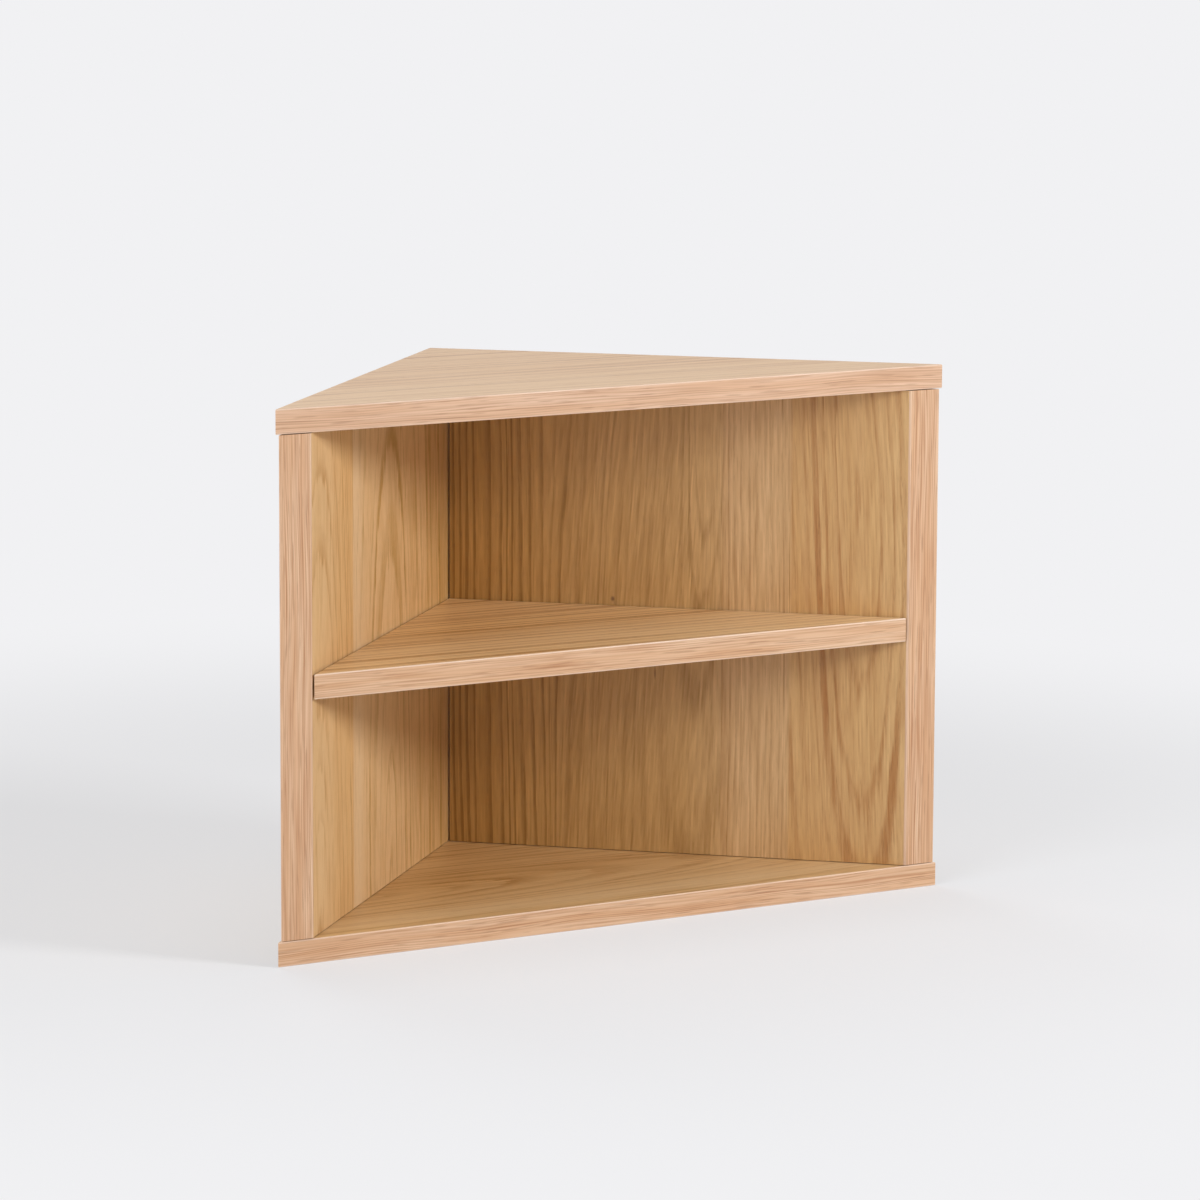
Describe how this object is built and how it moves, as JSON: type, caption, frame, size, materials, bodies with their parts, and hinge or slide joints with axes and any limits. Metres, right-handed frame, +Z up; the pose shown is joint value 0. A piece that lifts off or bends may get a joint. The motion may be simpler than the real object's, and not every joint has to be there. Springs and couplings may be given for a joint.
{
  "type": "corner wall shelf",
  "caption": "Corner wall shelf: triangular top, bottom and lift-out middle shelf between mitred side boards, open along a diagonal front; oak veneered, hung on keyhole plates.",
  "frame": {"origin": "the room's wall corner at the height of the shelf's underside", "axes": "+Z up, +X along the right wall, -Y along the left wall, so the open diagonal front looks between +X and -Y"},
  "size_m": [0.4, 0.4, 0.4],
  "materials": {
    "oak_veneer": "matt lacquered oak veneer",
    "oak_edge_band": "matt lacquered oak edge band",
    "fibreboard_core": "raw sawn fibreboard",
    "beech": "raw beech",
    "cast_zinc": "die-cast zinc, tumbled",
    "plated_steel": "bright zinc-plated steel"
  },
  "bodies": {
    "carcass": {"top_board_core": "fibreboard_core", "top_board_upper_veneer": "oak_veneer", "top_board_lower_veneer": "oak_veneer", "top_board_front_band": "oak_edge_band", "bottom_board_core": "fibreboard_core", "bottom_board_upper_veneer": "oak_veneer", "bottom_board_lower_veneer": "oak_veneer", "bottom_board_front_band": "oak_edge_band", "left_side_core": "fibreboard_core", "left_side_outer_veneer": "oak_veneer", "left_side_inner_veneer": "oak_veneer", "left_side_front_band": "oak_edge_band", "right_side_core": "fibreboard_core", "right_side_outer_veneer": "oak_veneer", "right_side_inner_veneer": "oak_veneer", "right_side_front_band": "oak_edge_band", "hanger_plate_left_back": "plated_steel", "hanger_plate_left_front": "plated_steel", "hanger_plate_right_back": "plated_steel", "hanger_plate_right_front": "plated_steel", "cam_bolts": "plated_steel", "hanger_screws": "plated_steel", "shelf_pegs": "plated_steel", "dowels": "beech"},
    "shelf": {"shelf_core": "fibreboard_core", "shelf_upper_veneer": "oak_veneer", "shelf_lower_veneer": "oak_veneer", "shelf_front_band": "oak_edge_band"},
    "cam_left_top_back": {"cam_left_top_back": "cast_zinc"},
    "cam_left_top_front": {"cam_left_top_front": "cast_zinc"},
    "cam_left_bottom_back": {"cam_left_bottom_back": "cast_zinc"},
    "cam_left_bottom_front": {"cam_left_bottom_front": "cast_zinc"},
    "cam_right_top_back": {"cam_right_top_back": "cast_zinc"},
    "cam_right_top_front": {"cam_right_top_front": "cast_zinc"},
    "cam_right_bottom_back": {"cam_right_bottom_back": "cast_zinc"},
    "cam_right_bottom_front": {"cam_right_bottom_front": "cast_zinc"}
  },
  "joints": [
    {"name": "shelf_slide", "type": "slide", "parent": "carcass", "child": "shelf", "axis": [0.7071, -0.7071, 0], "range_m": [0, 0.28]},
    {"name": "cam_left_top_back_turn", "type": "hinge", "parent": "carcass", "child": "cam_left_top_back", "pos_m": [0.0108, -0.07, 0.3575], "axis": [-1, 0, 0], "range_deg": [-180, 0]},
    {"name": "cam_left_top_front_turn", "type": "hinge", "parent": "carcass", "child": "cam_left_top_front", "pos_m": [0.0108, -0.3, 0.3575], "axis": [-1, 0, 0], "range_deg": [-180, 0]},
    {"name": "cam_left_bottom_back_turn", "type": "hinge", "parent": "carcass", "child": "cam_left_bottom_back", "pos_m": [0.0108, -0.07, 0.0425], "axis": [-1, 0, 0], "range_deg": [-180, 0]},
    {"name": "cam_left_bottom_front_turn", "type": "hinge", "parent": "carcass", "child": "cam_left_bottom_front", "pos_m": [0.0108, -0.3, 0.0425], "axis": [-1, 0, 0], "range_deg": [-180, 0]},
    {"name": "cam_right_top_back_turn", "type": "hinge", "parent": "carcass", "child": "cam_right_top_back", "pos_m": [0.07, -0.0108, 0.3575], "axis": [0, 1, 0], "range_deg": [-180, 0]},
    {"name": "cam_right_top_front_turn", "type": "hinge", "parent": "carcass", "child": "cam_right_top_front", "pos_m": [0.3, -0.0108, 0.3575], "axis": [0, 1, 0], "range_deg": [-180, 0]},
    {"name": "cam_right_bottom_back_turn", "type": "hinge", "parent": "carcass", "child": "cam_right_bottom_back", "pos_m": [0.07, -0.0108, 0.0425], "axis": [0, 1, 0], "range_deg": [-180, 0]},
    {"name": "cam_right_bottom_front_turn", "type": "hinge", "parent": "carcass", "child": "cam_right_bottom_front", "pos_m": [0.3, -0.0108, 0.0425], "axis": [0, 1, 0], "range_deg": [-180, 0]}
  ]
}
